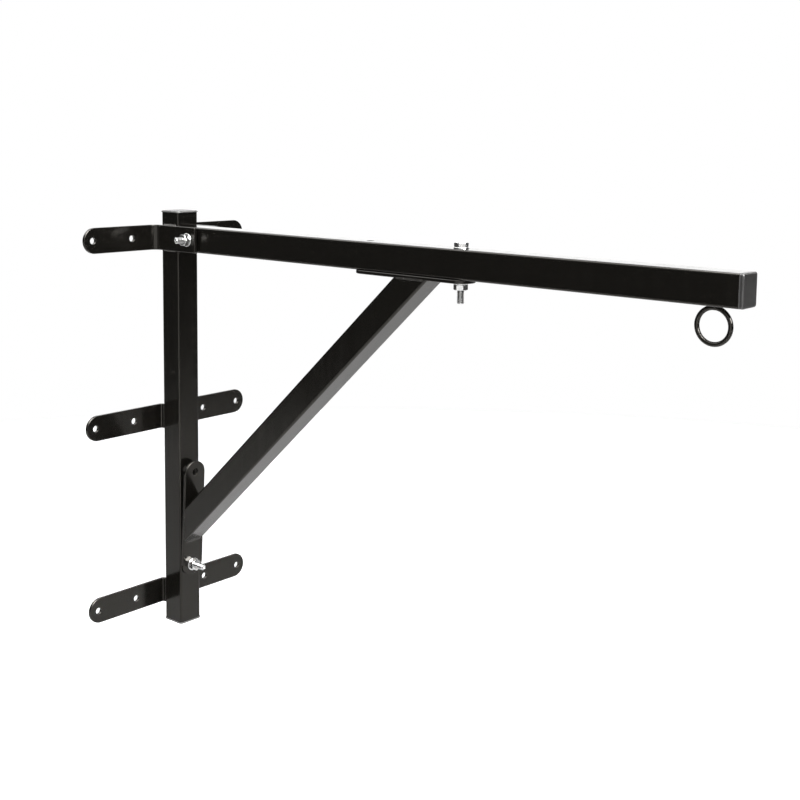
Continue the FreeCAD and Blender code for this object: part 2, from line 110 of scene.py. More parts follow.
BRACE_LEG = 3.2 * MM
BRACE_CROWN = 0.4 * MM
BRACE_SIDE_LEG = 1.6 * MM
BRACE_SIDE_CROWN = 0.5 * MM
RING_WELD_LEG = 4.2 * MM
RING_WELD_CROWN = 3.2 * MM
RING_WELD_HALF = 10.0 * MM
SEAM_INSET = 5.0 * MM          # a bead stops this far from the corner of a tube
SHOULDER_Y = 11.5 * MM         # where a strap's shoulder starts to curve away from the post
SHOULDER_AWAY = Vector((-0.61, 0.79, 0))    # and the way it leaves

# ---- brace ----
TUBE = 40.0 * MM
BRACE_ANGLE = math.radians(43.0)
PLATE_LEAN = math.radians(3.1)
ALONG_BRACE = Vector((math.cos(BRACE_ANGLE), 0, math.sin(BRACE_ANGLE)))
ALONG_PLATE = Vector((math.sin(PLATE_LEAN), 0, math.cos(PLATE_LEAN)))
PLATE_NORMAL = Vector((math.cos(PLATE_LEAN), 0, -math.sin(PLATE_LEAN)))

# ---- ring ----
RING_SEGMENTS = 160
WIRE_SEGMENTS = 28
WIRE_SHARE = 0.985             # even part of the wire's radius; the rest is left for its roughness
WIRE_ROUGHNESS = 0.012
ROUGHNESS_LENGTH = 6.0 * MM
BUTT_SWELL = 0.06              # how much the wire is swollen on the inside of its butt weld
BUTT_HALF_ANGLE = math.radians(5)
RING_CREASE = 60

# ---- caps ----
WALL = 2.0 * MM
PLUG_GAP = 0.6 * MM
PLUG_DEPTH = 16.0 * MM
PLUG_CORNER = 2.0 * MM
PLUG_FLOOR_BEVEL = (1.0 * MM, 0.5 * MM)     # across and along the plug
PLUG_LEAD_IN = (0.4 * MM, 0.6 * MM)
RIB = 0.5 * MM
RIBS = 3
RIB_RISE = 0.35                # a rib rises over this share of its pitch
RIB_FOOT = 0.5                 # and has its foot on this share
CAP_ROUND = 1.8 * MM
CAP_CROWN = 0.45 * MM
CAP_MIDDLE = 2.5 * MM          # half width of the flat middle of a crowned face
CAP_SOFTNESS = 0.25 * MM       # width of the softened edge on a cap's underside
CAP_CREASE = 40
POST_CAP_CORNER = 4.5 * MM
ARM_CAP_CORNER = 3.0 * MM
CORNER_STEPS = 8               # steps round a corner, over the rounded edge and up the crown
ROUND_STEPS = 6
CROWN_STEPS = 8

# ---- materials, with colours as linear red, green, blue and alpha ----
OCCLUSION_SAMPLES = 6          # rays per sample that find edges and hollows
WHITE = (1, 1, 1, 1)
PAINT_DARK = (0.0058, 0.0053, 0.0044, 1)
PAINT_PALE = (0.0090, 0.0083, 0.0070, 1)
PAINT_MOTTLE = (0.014, 0.0135, 0.012, 1)
# Pale grey on every edge of the paint: partly thinner paint, partly a painted highlight along the edges.
PAINT_THIN_AND_HIGHLIGHT = (0.045, 0.044, 0.042, 1)
PAINT_CHIPPED = (0.20, 0.195, 0.185, 1)
PAINT_SHEEN = (1, 0.95, 0.87, 1)
ZINC_BLUISH = (0.58, 0.60, 0.63, 1)
ZINC_YELLOWISH = (0.68, 0.66, 0.62, 1)
# Painted shade in the hollows of the zinc plate.
ZINC_PAINTED_SHADE = (0.16, 0.155, 0.15, 1)
ZINC_WORN = (0.34, 0.335, 0.33, 1)
PLASTIC_DARK = (0.024, 0.0235, 0.023, 1)
PLASTIC_PALE = (0.040, 0.039, 0.038, 1)
# Grey cap edges: partly scuffed plastic, partly a painted highlight.
PLASTIC_SCUFF_AND_HIGHLIGHT = (0.32, 0.315, 0.31, 1)
FLOOR_DARK = (0.86, 0.86, 0.86, 1)
FLOOR_PALE = (0.90, 0.90, 0.90, 1)

# ---- stage ----
FLOOR_Z = -1.9                 # the bracket hangs on a wall, with its arm a little over two metres up
FLOOR_R = 9.0
FLOOR_SEGMENTS = 96
STAGE_X = 0.5                  # the middle of the bracket, out from the wall
FLOOR_GLOW = 0.22              # of the floor in mirrors and as a light
FLOOR_GLOW_SEEN = 0.92         # and where the camera sees it
DOME_FOOT = 0.14               # sine of the height above the horizon where the mirrored dome starts
DOME_FULL = 0.45               # and where it reaches its full brightness
DOME_GLOW = 0.55
HORIZON_GLOW = 0.06
BACKDROP_GLOW = 1.0            # where the camera sees it
# Azimuth, height in degrees and glow of the brightest spots of the dome.
KEYS = ((-9, 31, 24.0), (-24, 58, 24.0), (-165, 45, 3.5))
KEY_START = 25.0               # degrees from the middle of a spot where it starts
KEY_FULL = 14.0                # and where it reaches its full brightness
CAMERA_AT = Vector((1.6070, -1.2878, 0.4555))
CAMERA_AIM = Vector((0.5461, 0.0, 0.2744))
CAMERA_ROLL = math.radians(0.75)
CAMERA_LENS = 56.36            # millimetres
CAMERA_SENSOR = 36.0
CAMERA_SHIFT = (-0.0335, -0.1582)


# ---- mesh helpers ----

def add_rings(bm, rings, wrap=False):
    """Joins rings of points with faces. A ring of one point closes the end to a tip."""
    rows = [[bm.verts.new(point) for point in ring] for ring in rings]
    pairs = list(zip(rows, rows[1:]))
    if wrap:
        pairs.append((rows[-1], rows[0]))
    for lower, upper in pairs:
        count = max(len(lower), len(upper))
        for index in range(count):
            following = (index + 1) % count
            corners = [
                lower[index % len(lower)],
                lower[following % len(lower)],
                upper[following % len(upper)],
                upper[index % len(upper)],
            ]
            corners = list(dict.fromkeys(corners))
            if len(corners) > 2:
                bm.faces.new(corners)


def finish_piece(name, bm, matrix, material, node, crease=CREASE):
    """Turns the mesh into a piece that replaces a CAD node. Edges sharper than crease degrees stay sharp."""
    bmesh.ops.remove_doubles(bm, verts=bm.verts, dist=MERGE)
    bmesh.ops.dissolve_degenerate(bm, edges=bm.edges, dist=MERGE / 10)
    bmesh.ops.recalc_face_normals(bm, faces=bm.faces)
    bm.transform(matrix)
    mesh = bpy.data.meshes.new(name)
    bm.to_mesh(mesh)
    bm.free()
    mesh.shade_smooth()
    mesh.set_sharp_from_angle(angle=math.radians(crease))
    mesh.materials.append(material)
    piece = bpy.data.objects.new(name, mesh)
    bpy.context.scene.collection.objects.link(piece)
    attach(piece, "root")
    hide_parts(node)


def even_angles(count):
    return [2 * math.pi * step / count for step in range(count)]


def circle(radius, z, angles):
    return [Vector((radius * math.cos(angle), radius * math.sin(angle), z)) for angle in angles]


def place(axis, position, spin=0.0):
    """The matrix that points +Z along axis and moves the origin to position, after a spin about +Z."""
    turn = Z_AXIS.rotation_difference(axis) @ Quaternion(Z_AXIS, math.radians(spin))
    return Matrix.Translation(position) @ turn.to_matrix().to_4x4()


# ---- fasteners ----

def hex_angles():
    """Eight directions per side of a hexagon with a corner at angle 0, crowded where corners are rounded."""
    flat = math.acos(math.cos(HALF_SIDE) / HEX_CORNER_SHARE)
    offsets = [-HALF_SIDE, -flat, -flat * 0.7, -flat * 0.35, 0, flat * 0.35, flat * 0.7, flat]
    angles = []
    for side in range(HEX_SIDES):
        side_middle = math.radians(360 / HEX_SIDES * (side + 0.5))
        angles.extend(side_middle + offset for offset in offsets)
    return angles


HEX_ANGLES = hex_angles()


def hex_radius(angle):
    """Distance from the axis to the side of the hexagon in a direction."""
    from_middle = math.fmod(angle, 2 * HALF_SIDE) - HALF_SIDE
    corner = ACROSS_FLATS / math.sqrt(3)
    return min(ACROSS_FLATS / 2 / math.cos(from_middle), corner * HEX_CORNER_SHARE)


def hex_ring(inset, z_at):
    """A ring round the hexagon, pulled in by inset, at a height that depends on the radius."""
    ring = []
    for angle in HEX_ANGLES:
        radius = hex_radius(angle)
        pulled_in = radius - inset
        ring.append(Vector((pulled_in * math.cos(angle), pulled_in * math.sin(angle), z_at(radius))))
    return ring


def hex_end(face_z, way):
    """Rings from a hexagon's side over its chamfered edge to its round end face. way is 1 up, -1 down."""
    face_r = HEX_FACE_SHARE * ACROSS_FLATS / 2
    soft = HEX_SOFTNESS

    def chamfer(inset):
        return lambda radius: face_z - way * (radius - inset - face_r) * CHAMFER_SLOPE

    return [
        hex_ring(0, lambda radius: chamfer(0)(radius) - way * soft),
        hex_ring(soft, chamfer(soft)),
        circle(face_r + soft, face_z - way * soft * CHAMFER_SLOPE, HEX_ANGLES),
        circle(face_r - soft, face_z, HEX_ANGLES),
    ]


def add_thread(bm, low, high, start, crest_r, root_r, limit):
    """A right-hand helical thread between two heights. limit(radius, z) trims it to its ends."""
    flank_share = (1 - CREST_SHARE - ROOT_SHARE) / 2
    root_start = CREST_SHARE + flank_share
    root_end = root_start + ROOT_SHARE
    profile = [(0.0, crest_r), (CREST_SHARE, crest_r), (root_start, root_r), (root_end, root_r)]
    first = math.floor((low - start) / THREAD_PITCH) - 1
    last = math.ceil((high - start) / THREAD_PITCH) + 1
    rows = []
    for turn in range(first, last + 1):
        for share, radius in profile:
            row = []
            for angle in HEX_ANGLES:
                z = start + THREAD_PITCH * (turn + share + angle / (2 * math.pi))
                z = min(max(z, low), high)
                trimmed = limit(radius, z)
                row.append(bm.verts.new((trimmed * math.cos(angle), trimmed * math.sin(angle), z)))
            rows.append(row)
    count = len(HEX_ANGLES)
    for index in range(len(rows) - 1):
        for column in range(count - 1):
            bm.faces.new([rows[index][column], rows[index][column + 1],
                          rows[index + 1][column + 1], rows[index + 1][column]])
        # Round the seam, each row meets the row one turn further on.
        joined = index + len(profile)
        if joined + 1 < len(rows):
            bm.faces.new([rows[index][-1], rows[joined][0], rows[joined + 1][0], rows[index + 1][-1]])


def make_bolt(name, matrix, length, material):
    """A forged hexagon bolt along -Z, with the underside of its head at the origin."""
    bm = bmesh.new()
    tip = -length
    run_out = tip + THREAD_LENGTH

    def limit(radius, z):
        rise = (z - (run_out - THREAD_RUN_OUT)) / THREAD_RUN_OUT
        lowest = THREAD_ROOT_R + (THREAD_R - THREAD_ROOT_R) * max(rise, 0)
        highest = THREAD_R - max(POINT_CHAMFER - (z - tip), 0)
        return min(max(radius, lowest), highest)

    add_thread(bm, tip, run_out, tip, THREAD_R, THREAD_ROOT_R, limit)
    # The tip of the bolt, from the bottom of its centre mark outwards.
    tip_rings = [
        [Vector((0, 0, tip + CENTRE_MARK_DEPTH))],
        circle(CENTRE_MARK_R * 0.5, tip + CENTRE_MARK_DEPTH * 0.9, HEX_ANGLES),
        circle(CENTRE_MARK_R * 0.9, tip + CENTRE_MARK_DEPTH * 0.3, HEX_ANGLES),
        circle(CENTRE_MARK_R * 1.1, tip, HEX_ANGLES),
        circle(THREAD_R - POINT_CHAMFER, tip, HEX_ANGLES),
    ]
    add_rings(bm, tip_rings)
    soft = HEX_SOFTNESS
    dish_r = DISH_SHARE * ACROSS_FLATS / 2
    # The shank, the neck, the head's underside, its sides, and the dish in its top.
    head_rings = [
        circle(THREAD_R, run_out, HEX_ANGLES),
        circle(THREAD_R, -4 * soft, HEX_ANGLES),
        circle(THREAD_R + soft, -soft, HEX_ANGLES),
        circle(THREAD_R + 4 * soft, 0, HEX_ANGLES),
        hex_ring(2 * soft, lambda radius: 0),
        hex_ring(0, lambda radius: soft),
    ]
    head_rings.extend(hex_end(HEAD_HEIGHT, 1))
    head_rings.append(circle(dish_r + 2 * soft, HEAD_HEIGHT, HEX_ANGLES))
    head_rings.append(circle(dish_r, HEAD_HEIGHT - DISH_DEPTH * 0.4, HEX_ANGLES))
    head_rings.append(circle(dish_r - 3 * soft, HEAD_HEIGHT - DISH_DEPTH * 0.9, HEX_ANGLES))
    head_rings.append([Vector((0, 0, HEAD_HEIGHT - DISH_DEPTH))])
    add_rings(bm, head_rings)
    finish_piece(name + "_threaded", bm, matrix, material, name, HEX_CREASE)


def make_nut(name, matrix, low, high, start, material):
    """A hexagon nut whose thread meshes with a bolt whose tip is at the height start."""
    bm = bmesh.new()
    countersink = NUT_MOUTH_R - THREAD_R

    def limit(radius, z):
        from_end = min(z - low, high - z)
        return max(radius, NUT_MOUTH_R - min(from_end, 2 * countersink))

    add_thread(bm, low, high, start, THREAD_R + THREAD_GAP, THREAD_ROOT_R + THREAD_GAP, limit)
    rings = [circle(NUT_MOUTH_R, low, HEX_ANGLES)]
    rings.extend(reversed(hex_end(low, -1)))
    rings.extend(hex_end(high, 1))
    rings.append(circle(NUT_MOUTH_R, high, HEX_ANGLES))
    add_rings(bm, rings)
    finish_piece(name + "_threaded", bm, matrix, material, name, HEX_CREASE)


def make_washer(name, matrix, outside_r, thick, material):
    """A punched washer: its upper edge is rolled over and its lower edge is nearly square."""
    bm = bmesh.new()
    section = [(WASHER_HOLE_R + inset, share) for inset, share in WASHER_HOLE_BELOW]
    section.extend((outside_r - inset, share) for inset, share in WASHER_RIM_SIDE + WASHER_RIM_ROLL)
    section.extend((WASHER_HOLE_R + inset, share) for inset, share in WASHER_HOLE_ABOVE)
    angles = even_angles(WASHER_SEGMENTS)
    rings = [circle(radius, share * thick, angles) for radius, share in section]
    add_rings(bm, rings, wrap=True)
    finish_piece(name + "_punched", bm, matrix, material, name)


def middle(node):
    """The middle of a node's box."""
    low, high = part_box(node)
    return (low + high) / 2


def reach(node, way):
    """How far a node reaches along a direction that is along one of the axes."""
    low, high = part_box(node)
    return max(low.dot(way), high.dot(way))


def make_bolt_set(name, way, seat_normal, material, head_turn=0, nut_turn=0):
    """A bolt with its nut and washers, in the places of their CAD nodes.

    way points from nut to head, and seat_normal out of the face under the nut's washer.
    """
    bolt_middle = middle(name + "_bolt")
    on_axis = bolt_middle - way * bolt_middle.dot(way)
    seat = reach(name + "_bolt", way) - HEAD_HEIGHT
    tip = -reach(name + "_bolt", -way)
    under_head = on_axis + way * seat
    make_bolt(name + "_bolt", place(way, under_head, head_turn), seat - tip, material)
    low = -reach(name + "_nut", -way) - seat
    high = reach(name + "_nut", way) - seat
    make_nut(name + "_nut", place(way, under_head, nut_turn), low, high, tip - seat, material)
    head_washer = name + "_head_washer"
    foot = -reach(head_washer, -way)
    thick = seat - foot
    corner, far_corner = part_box(head_washer)
    outside_r = max(far_corner - corner) / 2
    make_washer(head_washer, place(way, on_axis + way * foot), outside_r, thick, material)
    nut_washer = name + "_nut_washer"
    nut_washer_foot = middle(nut_washer) - seat_normal * (thick / 2)
    make_washer(nut_washer, place(seat_normal, nut_washer_foot), outside_r, thick, material)


# ---- welds ----

def ripple(here, share, centre, leg):
    """Height between the valleys and crests of a bead's ripples, 0 to 1.

    here is the distance along the bead, and share the part of the way across it.
    """
    lagging = here - (2 * share - 1) ** 2 * leg * RIPPLE_LAG
    stray = WANDER * noise.noise(centre / WANDER_LENGTH + WANDER_SHIFT)
    return abs(math.sin(math.pi * (lagging / RIPPLE_PITCH + stray))) ** RIPPLE_SHARPNESS


def bead_rings(start, end, wall_a, wall_b, leg, crown, out=None):
    """Rings of a weld bead in the corner between two walls, given as directions away from the corner."""
    along = end - start
    length = along.length
    along.normalize()
    out = out or (wall_a + wall_b).normalized()
    control = leg * out.dot(wall_a) + 2 * crown
    steps = max(round(length / BEAD_STEP), BEAD_STEPS_MIN)
    rings = []
    for step in range(1, steps):
        here = length * step / steps
        from_end = min(here, length - here)
        taper = math.sqrt(1 - (1 - min(from_end / leg, 1)) ** 2)
        centre = start + along * here
        size = taper * (1 + SWELL * noise.noise(centre / SWELL_LENGTH))
        ring = [centre - out * BEAD_SINK]
        for index in range(BEAD_POINTS):
            share = index / (BEAD_POINTS - 1)
            point = wall_a * (leg * size * (1 - share) ** 2)
            point += out * (control * size * 2 * share * (1 - share))
            point += wall_b * (leg * size * share ** 2)
            lift = ripple(here, share, centre, leg) - RIPPLE_BASE
            point += out * (RIPPLE_HEIGHT * lift * math.sin(math.pi * share) ** 0.5 * taper)
            ring.append(centre + point - out * BEAD_SINK)
        rings.append(ring)
    return [[start - out * BEAD_SINK]] + rings + [[end - out * BEAD_SINK]]


def make_bracket_welds(material):
    """Beads along the upper and lower edges of both ears of the top brackets, on the sides of the post."""
    bm = bmesh.new()
    post_low, post_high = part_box("post")
    ear_low, ear_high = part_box("top_bracket_left")
    for side in (-1, 1):
        for height, up in ((ear_low.z, -1), (ear_high.z, 1)):
            start = Vector((post_low.x + SEAM_INSET, side * TUBE / 2, height))
            end = Vector((post_high.x - SEAM_INSET, side * TUBE / 2, height))
            add_rings(bm, bead_rings(start, end, Z_AXIS * up, Y_AXIS * side, BRACKET_LEG, BRACKET_CROWN))
    finish_piece("bracket_weld_beads", bm, Matrix(), material, "bracket_welds")


def make_strap_welds(material):
    """Upright beads in the grooves between the back of the post and the shoulders of both straps."""
    bm = bmesh.new()
    post_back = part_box("post")[0].x
    for strap in ("middle_strap", "bottom_strap"):
        low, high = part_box(strap)
        for side in (-1, 1):
            away = Vector((SHOULDER_AWAY.x, side * SHOULDER_AWAY.y, 0)).normalized()
            start = Vector((post_back, side * SHOULDER_Y, low.z + STRAP_WELD_INSET))
            end = Vector((post_back, side * SHOULDER_Y, high.z - STRAP_WELD_INSET))
            add_rings(bm, bead_rings(start, end, Y_AXIS * side, away, STRAP_LEG, STRAP_CROWN))
    finish_piece("strap_weld_beads", bm, Matrix(), material, "strap_welds")


def make_brace_welds(material):
    """Beads across the brace above and below each end, and in its flush seams with both plates."""
    bm = bmesh.new()
    low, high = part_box("brace_tube")
    top_lower = Vector((high.x, 0, high.z))
    top_upper = top_lower - X_AXIS * (TUBE / math.sin(BRACE_ANGLE))
    foot_lower = Vector((low.x, 0, low.z))
    foot_upper = foot_lower + ALONG_PLATE * (TUBE / math.cos(BRACE_ANGLE + PLATE_LEAN))
    joints = (
        (top_upper, top_lower, X_AXIS, ALONG_BRACE * -1, Z_AXIS),
        (foot_lower, foot_upper, ALONG_PLATE, ALONG_BRACE, PLATE_NORMAL * -1),
    )
    across = Y_AXIS * (TUBE / 2 - SEAM_INSET)
    for first, second, along_plate, along_brace, into_plate in joints:
        for corner, away in ((first, along_plate * -1), (second, along_plate)):
            start = corner - across
            end = corner + across
            add_rings(bm, bead_rings(start, end, away, along_brace, BRACE_LEG, BRACE_CROWN))
        inset = along_plate * SEAM_INSET
        for side in (-1, 1):
            out = Y_AXIS * side
            start = first + inset + out * (TUBE / 2)
            end = second - inset + out * (TUBE / 2)
            out_of_plate = into_plate * -1
            rings = bead_rings(start, end, into_plate, out_of_plate, BRACE_SIDE_LEG, BRACE_SIDE_CROWN, out)
            add_rings(bm, rings)
    finish_piece("brace_weld_beads", bm, Matrix(), material, "brace_welds")


def make_ring_weld(material):
    """The lump of weld that holds the top of the ring under the arm."""
    bm = bmesh.new()
    low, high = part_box("hanging_ring")
    top = Vector(((low.x + high.x) / 2, 0, high.z))
    start = top - X_AXIS * RING_WELD_HALF
    end = top + X_AXIS * RING_WELD_HALF
    down = Z_AXIS * -1
    add_rings(bm, bead_rings(start, end, Y_AXIS, Y_AXIS * -1, RING_WELD_LEG, RING_WELD_CROWN, down))
    finish_piece("ring_weld_bead", bm, Matrix(), material, "ring_weld")


# ---- ring ----

def make_ring(material):
    """A ring of bent round wire, a little swollen where its two ends were butt welded."""
    bm = bmesh.new()
    low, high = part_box("hanging_ring")
    centre = (low + high) / 2
    wire_r = (high.y - low.y) / 2
    middle_r = (high.x - low.x) / 2 - wire_r
    rings = []
    for angle in even_angles(RING_SEGMENTS):
        spoke = Vector((math.sin(angle), 0, math.cos(angle)))
        from_top = min(angle, 2 * math.pi - angle)
        butt = math.exp(-(from_top / BUTT_HALF_ANGLE) ** 2)
        ring = []
        for turn in even_angles(WIRE_SEGMENTS):
            outward = spoke * math.cos(turn) + Y_AXIS * math.sin(turn)
            on_wire = spoke * middle_r + outward * wire_r
            rough = 1 + WIRE_ROUGHNESS * noise.noise(on_wire / ROUGHNESS_LENGTH)
            radius = wire_r * (WIRE_SHARE * rough + BUTT_SWELL * butt * max(-math.cos(turn), 0))
            ring.append(spoke * middle_r + outward * radius)
        rings.append(ring)
    add_rings(bm, rings, wrap=True)
    matrix = Matrix.Translation(centre)
    finish_piece("hanging_ring_wire", bm, matrix, material, "hanging_ring", RING_CREASE)


# ---- plastic caps ----

def rounded_rectangle(half_x, half_y, corner, z):
    """A ring in the shape of a rectangle with rounded corners."""
    corner = min(corner, half_x, half_y)
    points = []
    for quarter, (sign_x, sign_y) in enumerate(((1, 1), (-1, 1), (-1, -1), (1, -1))):
        for step in range(CORNER_STEPS + 1):
            angle = math.radians(90) * (quarter + step / CORNER_STEPS)
            x = sign_x * (half_x - corner) + corner * math.cos(angle)
            y = sign_y * (half_y - corner) + corner * math.sin(angle)
            points.append(Vector((x, y, z)))
    return points


def plug_rings(half_x, half_y):
    """The ribbed plug under a cap, from the inside of its hollow to the underside of the flange."""
    inner_x = half_x - WALL
    inner_y = half_y - WALL
    floor_inset, floor_rise = PLUG_FLOOR_BEVEL
    lead_inset, lead_rise = PLUG_LEAD_IN
    rings = [
        [Vector((0, 0, -WALL / 2))],
        rounded_rectangle(inner_x - floor_inset, inner_y - floor_inset, PLUG_CORNER, -WALL / 2),
        rounded_rectangle(inner_x, inner_y, PLUG_CORNER, -WALL / 2 - floor_rise),
        rounded_rectangle(inner_x, inner_y, PLUG_CORNER, -PLUG_DEPTH),
        rounded_rectangle(half_x - lead_inset, half_y - lead_inset, PLUG_CORNER, -PLUG_DEPTH),
        rounded_rectangle(half_x, half_y, PLUG_CORNER, -PLUG_DEPTH + lead_rise),
    ]
    pitch = PLUG_DEPTH / (RIBS + 1)
    for rib in range(RIBS):
        foot = -PLUG_DEPTH + pitch * (rib + 0.5)
        crest = foot + pitch * RIB_RISE
        rings.append(rounded_rectangle(half_x, half_y, PLUG_CORNER, foot))
        rings.append(rounded_rectangle(half_x + RIB, half_y + RIB, PLUG_CORNER + RIB, crest))
        rings.append(rounded_rectangle(half_x, half_y, PLUG_CORNER, foot + pitch * RIB_FOOT))
    rings.append(rounded_rectangle(half_x, half_y, PLUG_CORNER, 0))
    return rings


def flange_rings(half_x, half_y, corner, height):
    """The visible part of a cap: soft edges and a slightly crowned face."""
    soft = CAP_SOFTNESS
    face_z = height - CAP_CROWN
    start_z = face_z - CAP_ROUND
    rings = [
        rounded_rectangle(half_x - soft, half_y - soft, corner - soft, 0),
        rounded_rectangle(half_x, half_y, corner, soft),
        rounded_rectangle(half_x, half_y, corner, start_z),
    ]
    for step in range(1, ROUND_STEPS + 1):
        angle = math.radians(90) * step / ROUND_STEPS
        inset = CAP_ROUND * (1 - math.cos(angle))
        z = start_z + CAP_ROUND * math.sin(angle)
        rings.append(rounded_rectangle(half_x - inset, half_y - inset, corner, z))
    narrowing = min(half_x, half_y) - CAP_ROUND - CAP_MIDDLE
    for step in range(1, CROWN_STEPS + 1):
        share = step / CROWN_STEPS
        inset = CAP_ROUND + narrowing * share
        z = face_z + CAP_CROWN * (1 - (1 - share) ** 2)
        rings.append(rounded_rectangle(half_x - inset, half_y - inset, corner, z))
    rings.append([Vector((0, 0, height))])
    return rings


def make_cap(name, axis, position, flange, height, tube_sides, corner, material):
    """A cap with its plug in the tube. position is the middle of the tube's end."""
    bm = bmesh.new()
    plug = [side / 2 - WALL - PLUG_GAP for side in tube_sides]
    rings = plug_rings(*plug)
    rings.extend(flange_rings(flange[0] / 2, flange[1] / 2, corner, height))
    add_rings(bm, rings)
    matrix = place(axis, position)
    finish_piece(name + "_moulded", bm, matrix, material, name, CAP_CREASE)


def make_caps(material):
    """Caps on both ends of the post and on the free end of the arm."""
    post_x = middle("post").x
    post_low, post_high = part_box("post")
    tube_sides = (TUBE, TUBE)
    ends = (("post_cap_top", Z_AXIS, post_high.z), ("post_cap_bottom", Z_AXIS * -1, post_low.z))
    for name, axis, end_z in ends:
        low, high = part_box(name)
        flange = (high.x - low.x, high.x - low.x)
        position = Vector((post_x, 0, end_z))
        height = reach(name, axis) - position.dot(axis)
        make_cap(name, axis, position, flange, height, tube_sides, POST_CAP_CORNER, material)
    arm_low, arm_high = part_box("arm")
    sides = (arm_high.z - arm_low.z, arm_high.y - arm_low.y)
    position = Vector((arm_high.x, 0, (arm_low.z + arm_high.z) / 2))
    height = reach("arm_end_cap", X_AXIS) - arm_high.x
    make_cap("arm_end_cap", X_AXIS, position, sides, height, sides, ARM_CAP_CORNER, material)


# ---- materials ----

class Nodes:
    """A node tree under construction: each call of add makes a node, and gives one of its outputs."""

    def __init__(self, owner):
        owner.use_nodes = True
        self.tree = owner.node_tree
        self.tree.nodes.clear()

    def add(self, kind, inputs=None, output=0, **settings):
        made = self.tree.nodes.new("ShaderNode" + kind)
        for key, value in settings.items():
            setattr(made, key, value)
        for key, value in (inputs or {}).items():
            self.connect(value, made.inputs[key])
        return made.outputs[output]

    def connect(self, value, socket):
        if isinstance(value, bpy.types.NodeSocket):
            self.tree.links.new(value, socket)
        else:
            socket.default_value = value

    def close(self, shader, kind):
        """Ends the tree with an output node."""
        ending = self.tree.nodes.new("ShaderNodeOutput" + kind)
        self.tree.links.new(shader, ending.inputs["Surface"])


class Finish(Nodes):
    """The node tree of a new material."""

    def __init__(self, name):
        self.material = bpy.data.materials.new(name)
        super().__init__(self.material)
        self.position = self.add("TexCoord", output="Object")

    def noise(self, scale, detail=2.0, roughness=0.5, stretch=None):
        position = self.position
        if stretch:
            position = self.add("Mapping", {"Vector": position, "Scale": stretch})
        inputs = {"Vector": position, "Scale": scale, "Detail": detail, "Roughness": roughness}
        return self.add("TexNoise", inputs)

    def span(self, value, low, high, to_low, to_high):
        """A value brought from one range to another, and held inside it."""
        inputs = {"Value": value, "From Min": low, "From Max": high, "To Min": to_low, "To Max": to_high}
        return self.add("MapRange", inputs)

    def calculate(self, operation, first, second):
        return self.add("Math", {0: first, 1: second}, operation=operation)

    def blend(self, share, first, second):
        """A colour between two colours."""
        inputs = {0: share, 6: first, 7: second}
        return self.add("Mix", inputs, output=2, data_type="RGBA")

    def edges(self, width):
        """1 on outside edges, falling to 0 on flat faces."""
        settings = {"inside": True, "only_local": True, "samples": OCCLUSION_SAMPLES}
        flatness = self.add("AmbientOcclusion", {"Distance": width}, "AO", **settings)
        return self.span(flatness, 0.45, 0.95, 1.0, 0.0)

    def bump(self, height, distance, below=None):
        inputs = {"Height": height, "Distance": distance, "Strength": 1.0}
        if below:
            inputs["Normal"] = below
        return self.add("Bump", inputs)

    def surface(self, **inputs):
        """Ends the material with a principled surface."""
        named = {key.replace("_", " "): value for key, value in inputs.items()}
        self.close(self.add("BsdfPrincipled", named), "Material")
        return self.material


def painted_steel(name, base_roughness, peel):
    """Glossy black paint: orange peel, dust nibs, faint wipe marks, and paler grey edges that are partly
    thinner paint and partly a painted highlight.
    """
    finish = Finish(name)
    cloud = finish.noise(9.0, detail=3.0)
    mottle = finish.noise(140.0, detail=4.0, roughness=0.65)
    wipes = finish.noise(60.0, detail=4.0, roughness=0.7, stretch=(1.0, 1.0, 0.12))
    colour = finish.blend(cloud, PAINT_DARK, PAINT_PALE)
    colour = finish.blend(finish.span(mottle, 0.62, 0.78, 0.0, 0.5), colour, PAINT_MOTTLE)
    edge = finish.edges(1.1 * MM)
    chips = finish.span(finish.noise(520.0, detail=3.0, roughness=0.7), 0.60, 0.70, 0.0, 1.0)
    # Every edge is made paler: partly thinner paint, partly a painted highlight standing in for light on the
    # edges.
    thin_paint_and_highlight = finish.calculate("MULTIPLY", edge, finish.span(cloud, 0.35, 0.7, 0.25, 0.6))
    bare = finish.calculate("MULTIPLY", edge, chips)
    colour = finish.blend(thin_paint_and_highlight, colour, PAINT_THIN_AND_HIGHLIGHT)
    colour = finish.blend(finish.calculate("MULTIPLY", bare, 0.55), colour, PAINT_CHIPPED)
    roughness = finish.span(wipes, 0.3, 0.75, base_roughness - 0.04, base_roughness + 0.07)
    roughness = finish.calculate("ADD", roughness, finish.calculate("MULTIPLY", bare, 0.3))
    waves = finish.bump(finish.noise(330.0), peel)
    grain = finish.bump(finish.noise(1600.0), 0.004 * MM, waves)
    spots = finish.add("TexVoronoi", {"Vector": finish.position, "Scale": 95.0, "Randomness": 1.0})
    nibs = finish.bump(finish.span(spots, 0.0, 0.035, 1.0, 0.0), 0.05 * MM, grain)
    return finish.surface(
        Base_Color=colour, Roughness=roughness, Normal=nibs,
        Specular_IOR_Level=0.42, Specular_Tint=PAINT_SHEEN,
    )


